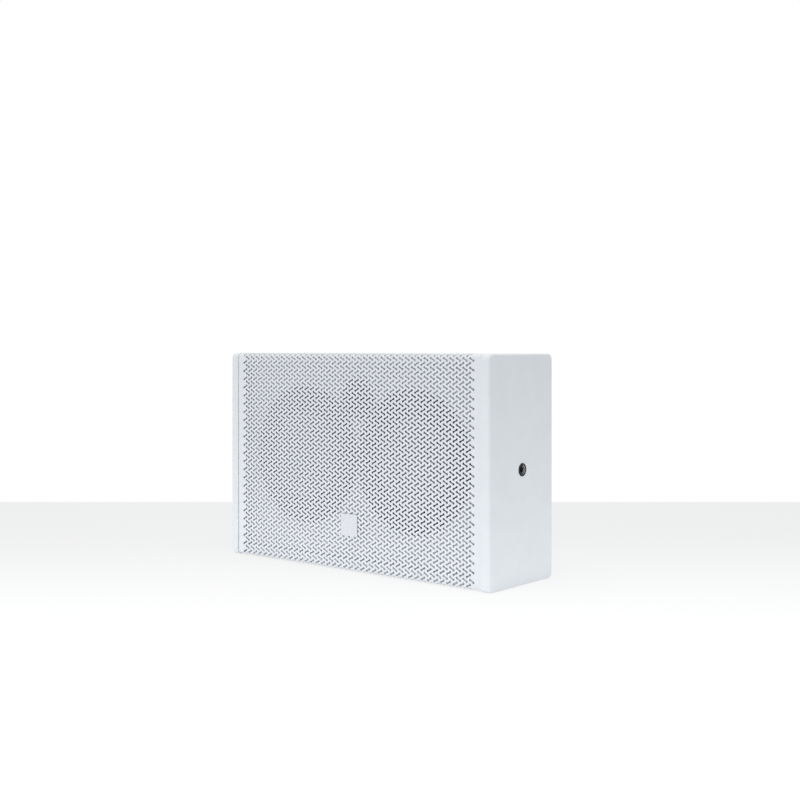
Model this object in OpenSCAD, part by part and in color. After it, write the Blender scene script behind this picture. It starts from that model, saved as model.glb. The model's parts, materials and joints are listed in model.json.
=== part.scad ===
// A slim passive subwoofer. Two shallow drivers and a port stand side by side behind a
// grille that is one folded, perforated sheet. Millimetres, +Z up, front towards -Y,
// origin on the floor under the middle of the whole object.

/* [Cabinet] */
// Width over both side panels
body_w = 506; // [480:1:560]
// Height of the side panels
body_h = 320; // [300:1:380]
// Depth of the side panels
body_d = 155; // [150:1:200]
// Thickness of a side panel
side_t = 15; // [12:1:19]
// Thickness of the boards between the side panels
board_t = 15; // [12:1:18]
// Radius of the outer edges of the side panels
edge_r = 4; // [2:0.5:6]
// Radius of the side panels' four corners, seen from the side
corner_r = 8.5; // [8:0.5:14]
// How far the side panels reach below the bottom board
plinth = 1.5; // [1:0.5:6]
// How far the rear board sits in from the back edge
rear_recess = 6; // [4:1:12]
// How far the baffle sits in from the front edge
baffle_recess = 20.5; // [20:0.5:26]

/* [Grille] */
// Thickness of the grille sheet
sheet_t = 1.5; // [1:0.1:2]
// How far the sheet sits in from the front edge of the side panels
sheet_recess = 1.5; // [1.2:0.1:3]
// Outer radius of the two folds
fold_r = 6; // [3:0.5:7]
// How far the folded edges run back
flange_d = 28; // [20:1:34]
// Gap between the sheet and a side panel
sheet_gap = 0.8; // [0.4:0.1:2]
// Distance between the neighbouring round ends of two slots
slot_pitch = 13.9; // [13.8:0.1:24]
// Share of the pitch that a slot's wide end takes
slot_end = 0.52; // [0.3:0.01:0.58]
// Share of the pitch that a slot's waist takes
slot_waist = 0.3; // [0.1:0.01:0.5]
// Plain border of the sheet beside the slots
sheet_border = 13; // [8:1:30]

/* [Badge place] */
// Side of the bare square plate on the grille
badge_w = 32.5; // [20:0.5:45]
// How far the plate stands out
badge_t = 1.2; // [0.6:0.1:1.2]
// Height of the plate's centre
badge_z = 68.5; // [40:0.5:120]

/* [Drivers] */
// Distance of each driver's axis from the middle
driver_x = 105; // [105:1:112]
// Height of the drivers' axes
driver_z = 165; // [145:1:170]
// Outer radius of a driver's frame
frame_r = 104; // [95:1:104]
// Screws round each driver
driver_screws_n = 8; // [4:1:12]
// Windows in each basket
basket_windows = 6; // [4:1:8]
// Height of the half-round roll of the surround
roll_h = 6.5; // [4:0.5:8]

/* [Port] */
// Radius of the port's bore
port_r = 24; // [15:0.5:24]
// Height of the port's axis
port_z = 252; // [252:1:270]
// Length of the port behind the baffle's face
port_l = 84; // [40:1:86]

/* [Side mounts] */
// Radius of the insert's threaded hole, to the tips of the thread
insert_hole_r = 4.25; // [3.3:0.05:5.1]
// Depth of the threaded hole
insert_hole_l = 12; // [8:0.5:12]
// Outer radius of the black ring
ring_r = 9.2; // [8:0.1:14]

/* [Input plate] */
// Height of the input plate's centre
input_z = 70; // [60:1:90]
// Distance of each socket from the middle
socket_x = 24; // [20:1:30]

/* [Hidden] */
$fn = 64;
SIDES = [["left", -1], ["right", 1]];
DRIVER_PARTS = [
  "basket", "gasket", "surround", "cone", "dust_cap", "spider", "coil_former", "coil_winding",
  "front_plate", "magnet", "yoke", "terminal_board", "terminal_tabs", "tinsel_leads",
  "hookup_leads", "driver_screws"
];

// Running room left round screws, barrels and inserts that sit in holes
fit = 0.1;
// Overshoot of a cutting shape past the face that it cuts
cut = 1;

front_y = -body_d / 2;
back_y = body_d / 2;
sheet_y = front_y + sheet_recess;
inner_w = body_w - 2 * side_t;
sheet_w = inner_w - 2 * sheet_gap;
sheet_low = plinth;
sheet_high = body_h - 0.4;
sheet_h = sheet_high - sheet_low;
// The top and bottom boards start just behind the folds and carry the folded edges
board_front = sheet_y + fold_r + 0.5;
bottom_low = plinth;
bottom_high = bottom_low + board_t;
top_low = body_h - board_t;
baffle_y = front_y + baffle_recess;
rear_face = back_y - rear_recess;
rear_inner = rear_face - board_t;
inner_h = top_low - bottom_high;

// Slots: the round ends lie on a regular triangular lattice, and each slot joins two of them
slot_col = slot_pitch * sqrt(3);
slot_cols = floor((sheet_w - 2 * sheet_border - slot_col / 2) / slot_col);
slot_rows = floor((sheet_h - 2 * fold_r - 2) / slot_pitch);
slot_half = slot_pitch * (1 + slot_end) / 2;

// Driver, measured from the baffle's face, forwards positive, and from its axis
frame_t = 2;
frame_in_r = 86;
wall_t = 1.5;
wall_r = 88;
wall_start = -6;
spoke_angle = 20;
ledge_z = -34;
ledge_r = 62;
cup_r = 50;
plate_z = -55;
plate_t = 6;
plate_r = 50;
magnet_t = 15;
magnet_r = 60;
magnet_in_r = 30;
yoke_t = 6;
yoke_r = 57;
pole_r = 24.4;
former_r = 24.85;
former_t = 0.35;
winding_t = 0.9;
winding_l = 14;
gap_r = 26.7;
roll_in_r = 70;
roll_out_r = 88.5;
roll_t = 0.8;
lip_w = 5;
neck_z = -28;
cone_t = 1.2;
cone_rim_r = 71;
cone_steps = 10;
cap_r = 33;
cap_h = 9;
cap_t = 0.8;
spider_r = 60;
spider_z = -31.5;
spider_t = 0.6;
spider_waves = 4;
screw_circle_r = 99.5;
screw_r = 2;
screw_head_r = 4;
screw_head_h = 2.4;
screw_l = 14;
magnet_back = plate_z - plate_t - magnet_t;
yoke_back = magnet_back - yoke_t;
// Terminals hang on a tongue under the basket's ledge
tongue = [20, 2, 9];
terminal = [28, 1.5, 13];
tab = [4.8, 0.8, 18];
tab_x = 8;
tab_front = -38;
tab_back = tab_front - tab[2];
terminal_y = -(ledge_r + 0.5);
tab_y = terminal_y - terminal[1] - tab[1] / 2;

// Port flange
port_wall = 2.5;
port_flange_r = 31;
port_flange_t = 3;

// Input plate, measured from the rear board's outer face
plate_w = 130;
plate_h = 84;
plate_flange_t = 2.5;
dish_w = 104;
dish_h = 58;
dish_depth = 12;
dish_wall = 2;
plate_screw_x = 59.5;
plate_screw_y = 36.5;
socket_w = 26;
socket_h = 31;
socket_flange_t = 3;
barrel_r = 12;
barrel_l = 24;
socket_bore_r = 10.75;
socket_bore_l = 20;
core_r = 5.5;
socket_screw_x = 9.6;
socket_screw_y = 12.1;
contact = [6.3, 0.8, 9];
contact_r = 7;
contact_back = -dish_depth - barrel_l - contact[2];

// Leads
lead_r = 1.3;
tinsel_r = 0.6;
lead_steps = 16;

// Grille screws
grille_screw_x = 150;
grille_screw_y = board_front + 13;
grille_screw_r = 1.75;
grille_screw_head_r = 3.4;
grille_screw_l = 12;

// Side insert
insert_r = 6.8;
insert_l = 14;
insert_recess = 0.6;
insert_bevel = 0.4;
ring_in_r = 6.95;
ring_t = 0.9;

function bezier(p, t) =
  pow(1 - t, 3) * p[0] + 3 * pow(1 - t, 2) * t * p[1] + 3 * (1 - t) * t * t * p[2] + pow(t, 3) * p[3];

function curve(p, steps) = [for (i = [0 : steps]) bezier(p, i / steps)];

function unit(v) = v / norm(v);

// A curve with a short straight length at each end, so that it meets what it joins squarely
function route(p, steps) =
  concat(
    [p[0]],
    curve([p[0] + unit(p[1] - p[0]), p[1], p[2], p[3] + unit(p[2] - p[3])], steps),
    [p[3]]
  );

// Depth of the cone's front face at radius r, a shallow flare
function cone_z(r) =
  neck_z + (frame_t - neck_z) * pow((r - former_r) / (cone_rim_r - lip_w - former_r), 0.86);

// A position measured in a driver's own directions, as a place in the cabinet
function driver_place(side, p) = [side * (driver_x - p[0]), baffle_y - p[2], driver_z + p[1]];

module rounded_rect(w, h, r) {
  square([w - 2 * r, h], center = true);
  square([w, h - 2 * r], center = true);
  for (x = [-1, 1])
    for (y = [-1, 1])
      translate([x * (w / 2 - r), y * (h / 2 - r)]) circle(r);
}

// A round wire along a list of points, eight sides
module wire(points, r) {
  sides = 8;
  last = len(points) - 1;
  along = [for (i = [0 : last]) unit(points[min(i + 1, last)] - points[max(i - 1, 0)])];
  aside = [for (t = along) unit(cross(t, [0.31, 0.17, 0.93]))];
  rings = [
    for (i = [0 : last]) for (k = [0 : sides - 1])
      points[i] + r * (cos(k * 360 / sides) * aside[i] + sin(k * 360 / sides) * cross(aside[i], along[i]))
  ];
  walls = [
    for (i = [0 : last - 1]) for (k = [0 : sides - 1]) let (n = (k + 1) % sides)
      for (f = [[i * sides + k, i * sides + n, (i + 1) * sides + n],
                [i * sides + k, (i + 1) * sides + n, (i + 1) * sides + k]]) f
  ];
  caps = [[for (k = [sides - 1 : -1 : 0]) k], [for (k = [0 : sides - 1]) last * sides + k]];
  polyhedron(points = rings, faces = concat(walls, caps), convexity = 4);
}

// Places a shape that is drawn with its front towards +Z on a driver's axis
module at_driver(side) {
  translate([side * driver_x, baffle_y, driver_z]) rotate([90, 0, 0]) children();
}

// Places a shape that is drawn with its outside towards +Z on the rear board
module at_rear(x, z) {
  translate([x, rear_face, z]) rotate([90, 0, 180]) children();
}

// Places a shape that is drawn with its outside towards +Z on a side panel
module at_side(side) {
  translate([side * body_w / 2, 0, body_h / 2]) rotate([0, side * 90, 0]) children();
}

// Cabinet

// Half of the rounded rim of a plate: its section from the corner's centre outwards
module rim_section(corner, edge) {
  square([corner - edge, edge]);
  intersection() {
    square([corner, edge]);
    translate([corner - edge, 0]) circle(edge);
  }
}

// A plate from z 0 to t with round corners, whose upper edge is rounded all the way round
module soft_plate(w, h, t, corner, edge) {
  linear_extrude(t - edge) rounded_rect(w, h, corner);
  translate([0, 0, t - edge]) {
    linear_extrude(edge) square([w - 2 * corner, h - 2 * corner], center = true);
    for (a = [0 : 90 : 270])
      let (
        x = (a % 180 == 0 ? w : h) / 2 - corner,
        y = (a % 180 == 0 ? h : w) / 2 - corner
      )
        rotate([0, 0, a]) {
          translate([x, y, 0]) rotate_extrude(angle = 90) rim_section(corner, edge);
          translate([-x, y, 0]) rotate([90, 0, 90]) linear_extrude(2 * x) rim_section(corner, edge);
        }
  }
}

module side_panel(side) {
  color("white")
    at_side(side)
      difference() {
        translate([0, 0, -side_t]) soft_plate(body_h, body_d, side_t, corner_r, edge_r);
        translate([0, 0, -insert_l - fit]) cylinder(r = insert_r + fit, h = insert_l + cut);
      }
}

// A board between the side panels that follows their outline at the back, with a step under
// the grille's folded edge
module shelf(low, step_low) {
  difference() {
    intersection() {
      translate([-inner_w / 2, board_front, low])
        cube([inner_w, back_y - board_front, board_t]);
      translate([-inner_w / 2, 0, body_h / 2]) rotate([90, 0, 90])
        linear_extrude(inner_w) rounded_rect(body_d, body_h, corner_r);
    }
    translate([-inner_w / 2 - cut, board_front - cut, step_low])
      cube([inner_w + 2 * cut, sheet_y + flange_d + fit - board_front + cut, sheet_t + cut]);
    for (x = [-1, 1])
      translate([x * grille_screw_x, grille_screw_y, low - cut])
        cylinder(r = grille_screw_r + fit, h = board_t + 2 * cut);
  }
}

module top_board() {
  color("white") shelf(top_low, sheet_high - sheet_t);
}

module bottom_board() {
  color("white") translate([0, 0, bottom_low + bottom_high]) mirror([0, 0, 1])
    shelf(bottom_low, bottom_high + bottom_low - sheet_low - sheet_t);
}

module baffle() {
  color("gainsboro")
    translate([0, baffle_y, 0])
      difference() {
        translate([-inner_w / 2, 0, bottom_high]) cube([inner_w, board_t, inner_h]);
        for (side = [-1, 1])
          translate([side * driver_x, board_t + cut, driver_z]) rotate([90, 0, 0]) {
            cylinder(r = wall_r + 1.2, h = board_t + 2 * cut);
            for (k = [0 : driver_screws_n - 1])
              rotate([0, 0, (k + 0.5) * 360 / driver_screws_n]) translate([screw_circle_r, 0, 0])
                cylinder(r = screw_r + fit, h = board_t + 2 * cut);
          }
        translate([0, board_t + cut, port_z]) rotate([90, 0, 0])
          cylinder(r = port_r + port_wall + fit, h = board_t + 2 * cut);
      }
}

module rear_board() {
  color("white")
    difference() {
      translate([-inner_w / 2, rear_inner, bottom_high]) cube([inner_w, board_t, inner_h]);
      at_rear(0, input_z) {
        translate([0, 0, -board_t - cut]) linear_extrude(board_t + 2 * cut)
          rounded_rect(dish_w + 2 * dish_wall + 1, dish_h + 2 * dish_wall + 1, 7);
        for (x = [-1, 1])
          for (y = [-1, 1])
            translate([x * plate_screw_x, y * plate_screw_y, -11])
              cylinder(r = grille_screw_r + fit, h = 11 + cut);
      }
    }
}

module brace() {
  color("burlywood")
    translate([0, baffle_y + board_t, driver_z]) rotate([-90, 0, 0])
      linear_extrude(rear_inner - baffle_y - board_t) rounded_rect(20, 45, 3);
}

// Grille

// The sheet's outline in side view, x backwards and y up, grown inwards by inset
module fold_outline(inset, back) {
  r = fold_r - inset;
  translate([fold_r, inset]) square([back - fold_r, sheet_h - 2 * inset]);
  translate([inset, fold_r]) square([fold_r, sheet_h - 2 * fold_r]);
  for (y = [fold_r, sheet_h - fold_r])
    translate([fold_r, y]) circle(r);
}

// A slot with two wide ends and a waist
module slot() {
  w = slot_pitch * slot_end / 2;
  n = slot_pitch * slot_waist / 2;
  polygon([[-slot_half, -w], [0, -n], [slot_half, -w], [slot_half, w], [0, n], [-slot_half, w]]);
}

module grille() {
  top = sheet_low + (sheet_h + (slot_rows - 1) * slot_pitch) / 2;
  color("whitesmoke")
    difference() {
      translate([-sheet_w / 2, sheet_y, sheet_low]) rotate([90, 0, 90])
        linear_extrude(sheet_w)
          difference() {
            fold_outline(0, flange_d);
            fold_outline(sheet_t, flange_d + cut);
          }
      for (row = [0 : slot_rows - 1])
        for (col = [0 : slot_cols - 1])
          translate([
            (col - (slot_cols - 0.5) / 2 + (row % 2) / 2 + 0.25) * slot_col,
            sheet_y + sheet_t + cut,
            top - row * slot_pitch
          ])
            rotate([90, 0, 0]) linear_extrude(sheet_t + 2 * cut) rotate(row % 2 == 0 ? 30 : -30) slot();
      at_grille_screws() {
        translate([0, 0, -sheet_t]) countersink(grille_screw_r + fit, grille_screw_head_r + fit);
        translate([0, 0, -sheet_t - cut]) cylinder(r = grille_screw_r + fit, h = 2 * cut);
      }
    }
}

module grille_screws() {
  color("silver")
    at_grille_screws() {
      translate([0, 0, -sheet_t]) countersink(grille_screw_r, grille_screw_head_r);
      translate([0, 0, -sheet_t - grille_screw_l])
        cylinder(r = grille_screw_r, h = grille_screw_l + 0.5);
    }
}

// The four screws through the folded edges, each drawn with its head towards +Z
module at_grille_screws() {
  for (x = [-1, 1])
    for (up = [0, 1])
      translate([x * grille_screw_x, grille_screw_y, up > 0 ? sheet_high : sheet_low])
        mirror([0, 0, 1 - up]) children();
}

// The cone of a countersunk head, as thick as the sheet
module countersink(low_r, high_r) {
  cylinder(r1 = low_r, r2 = high_r, h = sheet_t);
}

module badge_plate() {
  color("white")
    translate([0, sheet_y, badge_z]) rotate([90, 0, 0])
      linear_extrude(badge_t) rounded_rect(badge_w, badge_w, 2);
}

// Port and side mounts

module port_tube() {
  color("dimgray")
    translate([0, baffle_y, port_z]) rotate([90, 0, 0])
      rotate_extrude()
        difference() {
          union() {
            translate([port_r, -port_l]) square([port_wall, port_l + port_flange_t]);
            translate([port_r, 0]) square([port_flange_r - port_r, port_flange_t]);
          }
          difference() {
            translate([port_r - cut, 0]) square([port_flange_t + cut, port_flange_t + cut]);
            translate([port_r + port_flange_t, 0]) circle(port_flange_t);
          }
        }
}

module mount_insert() {
  color("silver")
    difference() {
      translate([0, 0, -insert_l]) cylinder(r = insert_r, h = insert_l - insert_recess);
      translate([0, 0, -insert_hole_l]) cylinder(r = insert_hole_r, h = insert_hole_l + cut);
      translate([0, 0, -insert_recess - insert_bevel])
        cylinder(r1 = insert_hole_r, r2 = insert_hole_r + insert_bevel, h = insert_bevel);
    }
}

module insert_ring() {
  color("black")
    rotate_extrude()
      intersection() {
        translate([ring_in_r, 0]) square([ring_r - ring_in_r, ring_t]);
        union() {
          square([ring_r - ring_t, ring_t]);
          translate([ring_r - ring_t, 0]) circle(ring_t);
        }
      }
}

// Drivers, each drawn on its own axis with its front towards +Z

module basket() {
  color("dimgray")
    difference() {
      union() {
        rotate_extrude()
          polygon([
            [frame_in_r, 0.5], [frame_in_r, frame_t], [frame_r, frame_t], [frame_r, 0],
            [wall_r, 0], [wall_r, wall_start], [ledge_r, ledge_z - wall_t], [cup_r, ledge_z - wall_t],
            [cup_r, plate_z], [28.5, plate_z], [28.5, plate_z + wall_t],
            [cup_r - wall_t, plate_z + wall_t], [cup_r - wall_t, ledge_z], [ledge_r - 1, ledge_z],
            [wall_r - wall_t, wall_start], [wall_r - wall_t, 0.5]
          ]);
        translate([-tongue[0] / 2, terminal_y, ledge_z - wall_t - tongue[2]])
          cube(tongue + [0, 0, wall_t]);
      }
      for (k = [0 : basket_windows - 1])
        rotate([0, 0, (k * 360 + spoke_angle / 2 * basket_windows) / basket_windows])
          rotate_extrude(angle = 360 / basket_windows - spoke_angle)
            translate([ledge_r + 0.5, ledge_z]) square([wall_r - ledge_r, wall_start - ledge_z - 3]);
      for (k = [0 : driver_screws_n - 1])
        rotate([0, 0, (k + 0.5) * 360 / driver_screws_n])
          translate([screw_circle_r, 0, -cut]) cylinder(r = screw_r + fit, h = frame_t + 2 * cut);
    }
}

module gasket() {
  color("black")
    translate([0, 0, frame_t + roll_t])
      rotate_extrude() translate([roll_out_r, 0]) square([lip_w + 1, 2.2]);
}

module surround() {
  half = (roll_out_r - roll_in_r) / 2;
  arc_r = (half * half + roll_h * roll_h) / (2 * roll_h);
  color("black")
    rotate_extrude() {
      translate([roll_out_r - roll_t / 2, frame_t]) square([lip_w + 1 + roll_t / 2, roll_t]);
      translate([roll_in_r - lip_w + 1, frame_t]) square([lip_w - 1 + roll_t / 2, roll_t]);
      intersection() {
        translate([roll_in_r, frame_t]) square([2 * half, roll_h + roll_t]);
        translate([roll_in_r + half, frame_t + roll_h - arc_r])
          difference() {
            circle(arc_r + roll_t / 2);
            circle(arc_r - roll_t / 2);
          }
      }
    }
}

module cone() {
  inner = former_r + former_t + 0.05;
  outer = cone_rim_r - lip_w;
  radii = [for (i = [0 : cone_steps]) inner + (outer - inner) * i / cone_steps];
  color("black")
    rotate_extrude()
      polygon(concat(
        [for (r = radii) [r, cone_z(r)]],
        [[cone_rim_r, frame_t], [cone_rim_r, frame_t - cone_t]],
        [for (i = [cone_steps : -1 : 0]) [radii[i], cone_z(radii[i]) - cone_t]]
      ));
}

module dust_cap() {
  seat = cone_z(cap_r);
  dome_r = (cap_r * cap_r + cap_h * cap_h) / (2 * cap_h);
  color("black")
    rotate_extrude()
      intersection() {
        translate([0, seat]) square([cap_r, cap_h + 1]);
        translate([0, seat + cap_h - dome_r])
          difference() {
            circle(dome_r, $fn = 96);
            circle(dome_r - cap_t, $fn = 96);
          }
      }
}

module spider() {
  inner = former_r + former_t + 0.05;
  steps = spider_waves * 4;
  span = spider_r - 6 - inner;
  line = [
    for (i = [0 : steps])
      [inner + 3 + (span - 3) * i / steps, spider_z + 1.3 * sin(i * 90)]
  ];
  up = [0, spider_t];
  land = ledge_z;
  color("goldenrod")
    rotate_extrude()
      polygon(concat(
        [[inner, spider_z + spider_t]],
        [for (p = line) p + up],
        [[spider_r - 3, land + spider_t], [spider_r, land + spider_t], [spider_r, land],
         [spider_r - 3.6, land]],
        [for (i = [steps : -1 : 0]) line[i]],
        [[inner, spider_z]]
      ));
}

module coil_former() {
  color("tan")
    difference() {
      translate([0, 0, -68]) cylinder(r = former_r + former_t, h = 68 + neck_z + 3);
      translate([0, 0, -68 - cut]) cylinder(r = former_r, h = 68 + neck_z + 3 + 2 * cut);
    }
}

module coil_winding() {
  middle = plate_z - plate_t / 2;
  color("chocolate")
    translate([0, 0, middle - winding_l / 2])
      difference() {
        cylinder(r = former_r + former_t + winding_t, h = winding_l);
        translate([0, 0, -cut]) cylinder(r = former_r + former_t, h = winding_l + 2 * cut);
      }
}

module front_plate() {
  color("silver")
    translate([0, 0, plate_z - plate_t])
      difference() {
        cylinder(r = plate_r, h = plate_t);
        translate([0, 0, -cut]) cylinder(r = gap_r, h = plate_t + 2 * cut);
      }
}

module magnet() {
  color("#303234")
    translate([0, 0, magnet_back])
      difference() {
        cylinder(r = magnet_r, h = magnet_t);
        translate([0, 0, -cut]) cylinder(r = magnet_in_r, h = magnet_t + 2 * cut);
      }
}

module yoke() {
  color("silver")
    rotate_extrude()
      polygon([
        [0, yoke_back], [yoke_r - 3, yoke_back], [yoke_r, yoke_back + 3], [yoke_r, magnet_back],
        [pole_r, magnet_back], [pole_r, plate_z + 0.5], [0, plate_z + 0.5]
      ]);
}

module terminal_board() {
  color("saddlebrown")
    translate([-terminal[0] / 2, terminal_y - terminal[1], ledge_z - wall_t - terminal[2]])
      cube(terminal);
}

module terminal_tabs() {
  color("gold")
    for (x = [-1, 1])
      translate([x * tab_x - tab[0] / 2, tab_y - tab[1] / 2, tab_back])
        cube(tab);
}

module tinsel_leads() {
  end_r = 38;
  end_z = cone_z(end_r) - cone_t - tinsel_r - 0.5;
  color("orange")
    for (x = [-1, 1])
      wire(
        route([
          [x * tab_x, tab_y - 0.3, tab_front],
          [x * tab_x, tab_y - 0.3, tab_front + 22],
          [x * tab_x, -58, end_z - 6],
          [x * tab_x, -end_r, end_z]
        ], lead_steps),
        tinsel_r
      );
}

module driver_screws() {
  color("black")
    for (k = [0 : driver_screws_n - 1])
      rotate([0, 0, (k + 0.5) * 360 / driver_screws_n]) translate([screw_circle_r, 0, frame_t]) {
        cylinder(r = screw_head_r, h = screw_head_h);
        translate([0, 0, -screw_l]) cylinder(r = screw_r, h = screw_l + 0.5);
      }
}

// Input plate and its sockets, drawn with the outside towards +Z

module input_plate() {
  color("black")
    at_rear(0, input_z)
      difference() {
        union() {
          linear_extrude(plate_flange_t) rounded_rect(plate_w, plate_h, 8);
          translate([0, 0, -dish_depth - plate_flange_t]) linear_extrude(dish_depth + plate_flange_t + 1)
            rounded_rect(dish_w + 2 * dish_wall, dish_h + 2 * dish_wall, 6.5);
        }
        translate([0, 0, -dish_depth]) linear_extrude(dish_depth + plate_flange_t + cut)
          rounded_rect(dish_w, dish_h, 4.5);
        for (x = [-1, 1]) {
          translate([x * socket_x, 0, -dish_depth - plate_flange_t - cut])
            cylinder(r = barrel_r + fit, h = plate_flange_t + 2 * cut);
          for (y = [-1, 1]) {
            translate([x * plate_screw_x, y * plate_screw_y, -cut])
              cylinder(r = grille_screw_r + fit, h = plate_flange_t + 2 * cut);
            translate([x * socket_x + y * socket_screw_x, y * socket_screw_y,
                       -dish_depth - plate_flange_t - cut])
              cylinder(r = 1.5 + fit, h = plate_flange_t + 2 * cut);
          }
        }
      }
}

module plate_screws() {
  color("black")
    at_rear(0, input_z)
      for (x = [-1, 1])
        for (y = [-1, 1])
          translate([x * plate_screw_x, y * plate_screw_y, plate_flange_t]) {
            cylinder(r = 3.2, h = 2);
            translate([0, 0, -12]) cylinder(r = grille_screw_r, h = 12.5);
          }
}

module socket(x) {
  floor_z = -dish_depth;
  color("#26282c")
    at_rear(x, input_z)
      difference() {
        union() {
          translate([0, 0, floor_z]) linear_extrude(socket_flange_t) rounded_rect(socket_w, socket_h, 2.5);
          translate([0, 0, floor_z - barrel_l]) cylinder(r = barrel_r, h = barrel_l + 1);
        }
        difference() {
          translate([0, 0, floor_z + socket_flange_t - socket_bore_l])
            cylinder(r = socket_bore_r, h = socket_bore_l + cut);
          translate([0, 0, floor_z - barrel_l]) cylinder(r = core_r, h = barrel_l + socket_flange_t - 1.5);
        }
        for (y = [-1, 1])
          translate([y * socket_screw_x, y * socket_screw_y, floor_z - cut])
            cylinder(r = 1.5 + fit, h = socket_flange_t + 2 * cut);
      }
}

module input_socket() {
  socket(-socket_x);
}

module link_socket() {
  socket(socket_x);
}

module socket_contacts() {
  color("gold")
    for (side = [-1, 1])
      at_rear(side * socket_x, input_z)
        for (a = [0 : 90 : 270])
          rotate([0, 0, a])
            translate([-contact[0] / 2, contact_r - contact[1] / 2, contact_back])
              cube(contact);
}

module socket_screws() {
  color("silver")
    for (side = [-1, 1])
      at_rear(side * socket_x, input_z)
        for (y = [-1, 1])
          translate([y * socket_screw_x, y * socket_screw_y, -dish_depth + socket_flange_t]) {
            cylinder(r = 2.7, h = 1.6);
            translate([0, 0, -9]) cylinder(r = 1.5, h = 9.4);
          }
}

// Two jumpers that join the like contacts of both sockets
module socket_jumpers() {
  y0 = rear_face + contact_back - lead_r;
  color("black")
    for (z = [-1, 1])
      let (
        h = input_z + z * contact_r,
        a = socket_x - contact_r - 8
      )
        wire(
          curve([
            [-socket_x, y0, h],
            [-a, y0 - 5, h + z * 2],
            [a, y0 - 5, h + z * 2],
            [socket_x, y0, h]
          ], lead_steps),
          lead_r
        );
}

// The pair of leads from one socket to one driver's terminals
module hookup_leads(side) {
  y0 = rear_face + contact_back;
  color("red")
    for (k = [-1, 1])
      let (
        from = [side * (socket_x + k * contact_r), y0, input_z],
        to = driver_place(side, [-k * tab_x, tab_y, tab_back])
      )
        wire(
          route([from, from - [0, 16, 0], to + [0, 16, 0], to], lead_steps),
          lead_r
        );
}

module damping_wadding() {
  t = 12;
  color("ivory")
    difference() {
      translate([-inner_w / 2 + 6, rear_inner - t, bottom_high + 6])
        cube([inner_w - 12, t, inner_h - 12]);
      at_rear(0, input_z) translate([0, 0, -board_t - t - cut]) linear_extrude(t + 2 * cut)
        rounded_rect(dish_w + 20, dish_h + 20, 8);
      translate([-14, rear_inner - t - cut, driver_z - 27]) cube([28, t + 2 * cut, 54]);
    }
}

side_panel(-1);  // left_side_panel
side_panel(1);  // right_side_panel
top_board();
bottom_board();
rear_board();
baffle();
brace();
grille();
grille_screws();
badge_plate();
port_tube();
input_plate();
plate_screws();
input_socket();
link_socket();
socket_contacts();
socket_screws();
socket_jumpers();
damping_wadding();

for (side = SIDES) {
  name = side[0];
  s = side[1];
  at_side(s) mount_insert();
  at_side(s) insert_ring();
  at_driver(s) basket();
  at_driver(s) gasket();
  at_driver(s) surround();
  at_driver(s) cone();
  at_driver(s) dust_cap();
  at_driver(s) spider();
  at_driver(s) coil_former();
  at_driver(s) coil_winding();
  at_driver(s) front_plate();
  at_driver(s) magnet();
  at_driver(s) yoke();
  at_driver(s) terminal_board();
  at_driver(s) terminal_tabs();
  at_driver(s) tinsel_leads();
  hookup_leads(s);
  at_driver(s) driver_screws();
}
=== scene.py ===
import json
import math

import bpy
from mathutils import Matrix, Vector, noise
from mathutils.geometry import delaunay_2d_cdt

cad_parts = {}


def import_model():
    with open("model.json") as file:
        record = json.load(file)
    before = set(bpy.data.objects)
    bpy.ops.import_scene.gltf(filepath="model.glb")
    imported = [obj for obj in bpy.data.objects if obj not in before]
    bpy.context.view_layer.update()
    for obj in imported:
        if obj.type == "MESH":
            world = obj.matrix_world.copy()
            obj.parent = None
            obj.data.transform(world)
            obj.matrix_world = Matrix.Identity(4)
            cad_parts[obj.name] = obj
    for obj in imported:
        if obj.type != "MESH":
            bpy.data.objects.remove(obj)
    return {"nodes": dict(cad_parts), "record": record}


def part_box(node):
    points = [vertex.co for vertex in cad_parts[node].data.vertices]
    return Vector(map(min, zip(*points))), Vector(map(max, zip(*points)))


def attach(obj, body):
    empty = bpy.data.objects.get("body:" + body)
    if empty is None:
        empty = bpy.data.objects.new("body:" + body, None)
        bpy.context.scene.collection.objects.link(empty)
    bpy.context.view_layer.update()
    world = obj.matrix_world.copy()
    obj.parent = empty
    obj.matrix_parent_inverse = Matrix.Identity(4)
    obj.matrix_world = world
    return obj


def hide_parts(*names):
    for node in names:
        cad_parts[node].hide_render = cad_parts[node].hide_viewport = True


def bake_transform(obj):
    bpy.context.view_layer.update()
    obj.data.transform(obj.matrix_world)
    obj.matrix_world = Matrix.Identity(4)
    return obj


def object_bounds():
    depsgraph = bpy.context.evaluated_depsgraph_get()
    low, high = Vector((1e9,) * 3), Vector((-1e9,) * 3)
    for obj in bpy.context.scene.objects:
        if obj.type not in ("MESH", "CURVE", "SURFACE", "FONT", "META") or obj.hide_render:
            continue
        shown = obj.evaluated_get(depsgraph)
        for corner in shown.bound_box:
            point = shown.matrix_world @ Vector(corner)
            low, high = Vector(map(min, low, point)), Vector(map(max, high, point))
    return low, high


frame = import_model()
cad_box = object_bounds()

# Looks of a slim white passive subwoofer. Metres, +Z up, the grille faces -Y.

MM = 0.001
TURN = 2 * math.pi
SIDES = {"left": -1, "right": 1}
SLOT_OF = {row["node"]: row["material_slot"] for row in frame["record"]["subparts"]}

# Photograph: a square picture, its camera level, the horizon above its middle
IMAGE_PX = 800
FOCAL_PX = 1195.1
HORIZON_PX = 348.4
SENSOR = 36.0
CAMERA_TURN = math.radians(39.76)
CAMERA_PLACE = (1.17775, -1.3753, 0.3274)
CAMERA_CLIP = 60

# Table: how far it goes sideways and backwards from the camera
TABLE_HALF = 6
# Its far edge, and where its grey ends and begins, along the floor from the camera
TABLE_REACH = 2.547
TABLE_GREY_FAR = 2.15
TABLE_GREY_NEAR = 1.1
# The tones that the camera sees there
TABLE_FAR_TONE = 0.698
TABLE_NEAR_TONE = 0.86
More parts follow.
